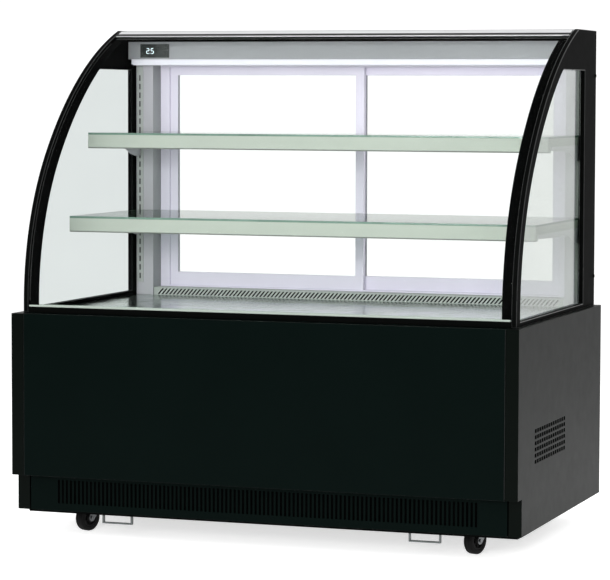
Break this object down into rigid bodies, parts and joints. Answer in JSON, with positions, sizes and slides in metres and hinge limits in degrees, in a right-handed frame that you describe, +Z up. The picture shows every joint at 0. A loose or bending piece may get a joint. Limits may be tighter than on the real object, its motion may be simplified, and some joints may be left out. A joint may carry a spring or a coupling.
{
  "type": "refrigerated glass display case",
  "caption": "Refrigerated glass display case with curved lift-up front glass, glass shelves, sliding rear doors and a machine base on castors.",
  "frame": {"origin": "on the floor under the middle of the cabinet", "axes": "+X to the customer's right, +Y to the rear, the operator's side, +Z up"},
  "size_m": [1.23, 0.756, 1.2],
  "materials": {
    "black_paint": "semi-gloss black powder coat",
    "front_paint": "gloss black paint",
    "side_paint": "fine textured black powder coat",
    "liner_plastic": "satin white liner",
    "stainless": "satin",
    "glass": "clear tempered",
    "shelf_glass": "clear tempered, green edge",
    "rail_paint": "satin pale grey-green",
    "rubber": "matte black",
    "silver": "satin anodised",
    "column_paint": "satin grey",
    "lamp": "opal diffuser",
    "display_plastic": "dark window",
    "door_paint": "satin white",
    "zinc": "bright zinc plate",
    "compressor_paint": "gloss black",
    "fin_aluminium": "mill finish",
    "copper": "drawn copper tube",
    "fan_plastic": "moulded",
    "pan_plastic": "moulded",
    "wheel_rubber": "moulded"
  },
  "bodies": {
    "case": {"base_frame": "black_paint", "side_panel_left": "side_paint", "side_panel_right": "side_paint", "front_panel": "front_paint", "kick_grille": "front_paint", "rear_service_panel": "side_paint", "insulated_tub": "liner_plastic", "deck_panel": "stainless", "deck_vent_riser": "stainless", "front_sill_rail": "black_paint", "side_frame_left": "black_paint", "side_frame_right": "black_paint", "side_glass_left": "glass", "side_glass_right": "glass", "glass_seals": "rubber", "roof_panel": "black_paint", "hinge_rail": "silver", "header_panel": "column_paint", "header_lamp": "lamp", "controller": "display_plastic", "rear_columns": "column_paint", "shelf_standards": "silver", "shelf_brackets": "column_paint", "lower_shelf_rails": "rail_paint", "lower_shelf_glass": "shelf_glass", "upper_shelf_rails": "rail_paint", "upper_shelf_glass": "shelf_glass", "door_frame": "door_paint", "case_screws": "zinc", "base_straps": "zinc", "castor_plates": "zinc", "condensing_unit_tray": "zinc", "compressor": "compressor_paint", "condenser_coil": "fin_aluminium", "condenser_fan_shroud": "fan_plastic", "refrigerant_lines": "copper", "condensate_pan": "pan_plastic", "electrical_box": "pan_plastic", "power_inlet_gland": "pan_plastic", "evaporator_coil": "fin_aluminium", "evaporator_fan_housing": "fan_plastic"},
    "front_glass": {"front_glass": "glass", "glass_hinge_leaf": "silver", "glass_bottom_trim": "door_paint"},
    "left_door": {"left_door_frame": "door_paint", "left_door_glass": "glass"},
    "right_door": {"right_door_frame": "door_paint", "right_door_glass": "glass"},
    "condenser_fan": {"condenser_fan_blade": "fan_plastic"},
    "evaporator_fan": {"evaporator_fan_blade": "fan_plastic"},
    "button_up": {"controller_button_up": "display_plastic"},
    "button_down": {"controller_button_down": "display_plastic"},
    "castor_fl": {"castor_fork_fl": "zinc"},
    "wheel_fl": {"castor_wheel_fl": "wheel_rubber"},
    "castor_fr": {"castor_fork_fr": "zinc"},
    "wheel_fr": {"castor_wheel_fr": "wheel_rubber"},
    "castor_rl": {"castor_fork_rl": "zinc"},
    "wheel_rl": {"castor_wheel_rl": "wheel_rubber"},
    "castor_rr": {"castor_fork_rr": "zinc"},
    "wheel_rr": {"castor_wheel_rr": "wheel_rubber"}
  },
  "joints": [
    {"name": "front_glass_lift", "type": "hinge", "parent": "case", "child": "front_glass", "pos_m": [0, 0.222, 1.186], "axis": [-1, 0, 0], "range_deg": [0, 60]},
    {"name": "left_door_slide", "type": "slide", "parent": "case", "child": "left_door", "axis": [1, 0, 0], "range_m": [0, 0.5]},
    {"name": "right_door_slide", "type": "slide", "parent": "case", "child": "right_door", "axis": [1, 0, 0], "range_m": [-0.5, 0]},
    {"name": "condenser_fan_spin", "type": "hinge", "parent": "case", "child": "condenser_fan", "pos_m": [0.49, -0.1, 0.215], "axis": [1, 0, 0], "continuous": true},
    {"name": "evaporator_fan_spin", "type": "hinge", "parent": "case", "child": "evaporator_fan", "pos_m": [0, 0.08, 0.425], "axis": [0, 1, 0], "continuous": true},
    {"name": "button_up_press", "type": "slide", "parent": "case", "child": "button_up", "axis": [0, 1, 0], "range_m": [0, 0.0008], "stiffness_N_per_m": 300},
    {"name": "button_down_press", "type": "slide", "parent": "case", "child": "button_down", "axis": [0, 1, 0], "range_m": [0, 0.0008], "stiffness_N_per_m": 300},
    {"name": "swivel_fl", "type": "hinge", "parent": "case", "child": "castor_fl", "pos_m": [-0.482, -0.205, 0.085], "axis": [0, 0, 1], "continuous": true},
    {"name": "roll_fl", "type": "hinge", "parent": "castor_fl", "child": "wheel_fl", "pos_m": [-0.49021, -0.22755, 0.032], "axis": [0.9397, -0.342, 0], "continuous": true},
    {"name": "swivel_fr", "type": "hinge", "parent": "case", "child": "castor_fr", "pos_m": [0.482, -0.205, 0.085], "axis": [0, 0, 1], "continuous": true},
    {"name": "roll_fr", "type": "hinge", "parent": "castor_fr", "child": "wheel_fr", "pos_m": [0.47379, -0.22755, 0.032], "axis": [0.9397, -0.342, 0], "continuous": true},
    {"name": "swivel_rl", "type": "hinge", "parent": "case", "child": "castor_rl", "pos_m": [-0.482, 0.265, 0.085], "axis": [0, 0, 1], "continuous": true},
    {"name": "roll_rl", "type": "hinge", "parent": "castor_rl", "child": "wheel_rl", "pos_m": [-0.49021, 0.24245, 0.032], "axis": [0.9397, -0.342, 0], "continuous": true},
    {"name": "swivel_rr", "type": "hinge", "parent": "case", "child": "castor_rr", "pos_m": [0.482, 0.265, 0.085], "axis": [0, 0, 1], "continuous": true},
    {"name": "roll_rr", "type": "hinge", "parent": "castor_rr", "child": "wheel_rr", "pos_m": [0.47379, 0.24245, 0.032], "axis": [0.9397, -0.342, 0], "continuous": true}
  ]
}
